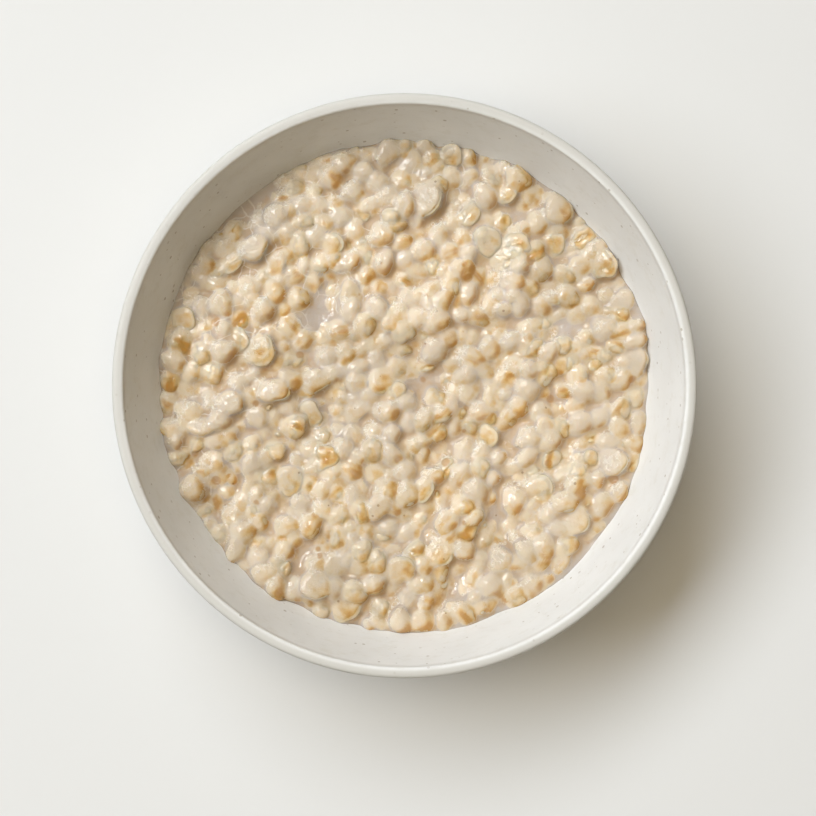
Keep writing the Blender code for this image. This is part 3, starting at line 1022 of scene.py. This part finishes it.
    # painted reflection: thin pale lines where the skin bridges from lump to lump, standing for the light mirrored in
    # the menisci, mostly towards the wall on the light's side
    warped = m.node("ShaderNodeVectorMath", operation="ADD")
    m.link(p, warped.inputs[0])
    shift = m.node("ShaderNodeTexNoise")
    m.link(p, shift.inputs["Vector"])
    shift.inputs["Scale"].default_value = 170.0
    shift.inputs["Detail"].default_value = 2.0
    m.link(m.scaled(shift.outputs["Color"], 0.0042), warped.inputs[1])
    meniscus_edges = m.voronoi(m.scaled(warped.outputs[0], (1.0, 1.0, 0.5)), 150.0, feature="DISTANCE_TO_EDGE")
    where = m.node("ShaderNodeSeparateXYZ")
    m.link(p, where.inputs[0])
    towards_wall = m.math("SUBTRACT", m.math("MULTIPLY", where.outputs["Y"], 2.2), m.math("MULTIPLY", where.outputs["X"], 3.2))
    meniscus_glint_mask = m.step(m.math("ADD", m.noise(p, 75.0, 2.0, 0.5), towards_wall), 0.60, 0.74)
    meniscus_glint_mask = m.math("MULTIPLY", meniscus_glint_mask, m.step(cover, 0.25, 0.80))
    meniscus_glint_mask = m.math("MULTIPLY", meniscus_glint_mask, m.step(hollow, -0.30, 0.05))
    meniscus_glint = m.math("MULTIPLY", m.step(meniscus_edges.outputs["Distance"], 0.040, 0.006), meniscus_glint_mask)
    colour = m.mix(m.math("MULTIPLY", meniscus_glint, 0.46), colour, (0.830, 0.780, 0.695))
    # painted highlight: fine white squiggles standing for glints, on the whiter side that faces the light; they also
    # raise the bump a little
    contour = m.math("ABSOLUTE", m.math("SUBTRACT", m.noise(p, 640.0, 2.0, 0.5), 0.5))
    glint_squiggle = m.math("MULTIPLY", m.step(contour, 0.062, 0.018), froth)
    height = m.math("ADD", height, m.math("MULTIPLY", glint_squiggle, 0.6))
    colour = m.mix(m.math("MULTIPLY", glint_squiggle, 0.52), colour, (0.900, 0.860, 0.790))
    # painted shade: the porridge painted a little lighter in the middle and darker and warmer towards the wall
    radius = m.node("ShaderNodeVectorMath", operation="LENGTH")
    m.link(m.scaled(p, (1.0, 1.0, 0.0)), radius.inputs[0])
    rim = m.node("ShaderNodeCombineColor")
    ring = m.step(m.math("ADD", radius.outputs["Value"], m.math("MULTIPLY", m.math("SUBTRACT", wide_n, 0.5), 0.02)), 0.038, 0.071, 1.02, 0.90)
    m.put(rim.inputs[0], ring)
    m.put(rim.inputs[1], m.math("MULTIPLY", ring, 0.995))
    m.put(rim.inputs[2], m.math("MULTIPLY", ring, 0.985))
    colour = m.mix(1.0, colour, rim.outputs[0], "MULTIPLY")
    normal = m.bump(height, 0.90, 0.00022)
    rough = m.math("SUBTRACT", m.step(m.noise(p, 300.0, 2.0), 0.3, 0.7, 0.10, 0.19), m.math("MULTIPLY", froth, 0.03))
    # broad paler and duller patches, as it was stirred
    patch = m.step(m.noise(m.scaled(p, (1.0, 1.0, 0.4)), 36.0, 2.0, 0.5), 0.34, 0.66, 0.895, 1.025)
    broad = m.node("ShaderNodeCombineColor")
    for socket in broad.inputs:
        m.put(socket, patch)
    colour = m.mix(1.0, colour, broad.outputs[0], "MULTIPLY")
    m.set(Base_Color=colour, Roughness=rough,
          Normal=normal)
    m.shader.inputs["IOR"].default_value = 1.45
    m.shader.inputs["Subsurface Weight"].default_value = 0.85
    m.shader.inputs["Subsurface Radius"].default_value = (1.0, 0.80, 0.58)
    m.shader.inputs["Subsurface Scale"].default_value = 0.0021
    return m.material


def glaze_material():
    m = Nodes("speckled_glaze")
    p = m.coords()
    along, bare, lip = m.attribute("along"), m.attribute("bare"), m.attribute("lip")
    # coordinates that lie along the wall, for features drawn out round the bowl
    flat = m.scaled(p, (0.50, 0.50, 0.80))
    mottle = m.noise(p, 38.0, 3.0, 0.55)
    bands = m.noise(flat, 430.0, 4.0, 0.72)
    base = m.mix(m.step(mottle, 0.3, 0.7), (0.720, 0.712, 0.692), (0.775, 0.768, 0.750))
    base = m.mix(m.math("MULTIPLY", m.step(bands, 0.48, 0.74), 0.42), base, (0.650, 0.625, 0.570))
    # specks of iron in the clay, soft under the glaze
    specks = m.voronoi(m.scaled(p, (0.80, 0.80, 1.0)), 560.0)
    pick = m.node("ShaderNodeSeparateColor")
    m.link(specks.outputs["Color"], pick.inputs[0])
    size = m.step(pick.outputs[0], 0.46, 1.0, 0.0, 0.19)
    speck = m.step(specks.outputs["Distance"], m.math("ADD", size, 0.06), size)
    speck = m.math("MULTIPLY", speck, m.math("GREATER_THAN", size, 0.015))
    strength = m.step(pick.outputs[1], 0.2, 1.0, 0.08, 0.58)
    base = m.mix(m.math("MULTIPLY", speck, strength), base, (0.300, 0.235, 0.165))
    # the lip's top, all but its inner edge, is darker and warmer
    base = m.mix(m.math("MULTIPLY", lip, 0.84), base, (0.530, 0.510, 0.468))
    clay_n = m.noise(p, 900.0, 3.0, 0.65)
    clay = m.mix(m.step(clay_n, 0.3, 0.7), (0.470, 0.370, 0.270), (0.580, 0.480, 0.370))
    colour = m.mix(bare, base, clay)
    rough = m.step(m.noise(p, 120.0, 3.0), 0.3, 0.7, 0.40, 0.54)
    mix_rough = m.node("ShaderNodeMix", data_type="FLOAT")
    m.put(mix_rough.inputs["Factor"], bare)
    m.put(mix_rough.inputs[2], rough)
    m.put(mix_rough.inputs[3], 0.85)
    height = m.math("ADD", m.math("MULTIPLY", m.noise(p, 260.0, 3.0, 0.5), 1.0),
                    m.math("MULTIPLY", bands, 0.5))
    height = m.math("ADD", height, m.math("MULTIPLY", m.math("MULTIPLY", clay_n, bare), 2.0))
    normal = m.bump(height, 0.35, 0.00010)
    m.set(Base_Color=colour, Roughness=mix_rough.outputs[0], Normal=normal)
    m.shader.inputs["Specular IOR Level"].default_value = 0.22
    m.shader.inputs["IOR"].default_value = 1.50
    return m.material


def floor_material():
    m = Nodes("pale_floor")
    p = m.coords()
    tone = m.mix(m.step(m.noise(p, 3.0, 2.0), 0.3, 0.7), (0.665, 0.660, 0.650), (0.680, 0.675, 0.665))
    m.set(Base_Color=tone, Roughness=0.85)
    m.shader.inputs["Specular IOR Level"].default_value = 0.15
    return m.material


# ---------------------------------------------------------------- build
glaze = glaze_material()
porridge_skin = porridge_material("oat_porridge", 1.0)

bowl = build_bowl()
bowl.data.materials.append(glaze)
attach(bowl, "root")
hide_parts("bowl")

milk = build_milk()
milk.data.materials.append(porridge_skin)
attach(milk, "root")
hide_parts("porridge")

for kind, label in (("groat", "whole_oats"), ("split", "creased_oats"), ("flake", "oat_flakes"), ("twin", "paired_oats")):
    group = [o for o in OATS if o.kind == kind and shows(o)]
    piece = build_oats(label, group)
    piece.data.materials.append(porridge_skin)
    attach(piece, "root")
    print(label, len(group), "oats", sum(len(f.vertices) - 2 for f in piece.data.polygons), "triangles")

floor_mesh = bpy.data.meshes.new("floor")
floor_mesh.from_pydata([(-6, -6, 0), (6, -6, 0), (6, 6, 0), (-6, 6, 0)], [], [(0, 1, 2, 3)])
floor = bpy.data.objects.new("floor", floor_mesh)
scene.collection.objects.link(floor)
floor_mesh.materials.append(floor_material())
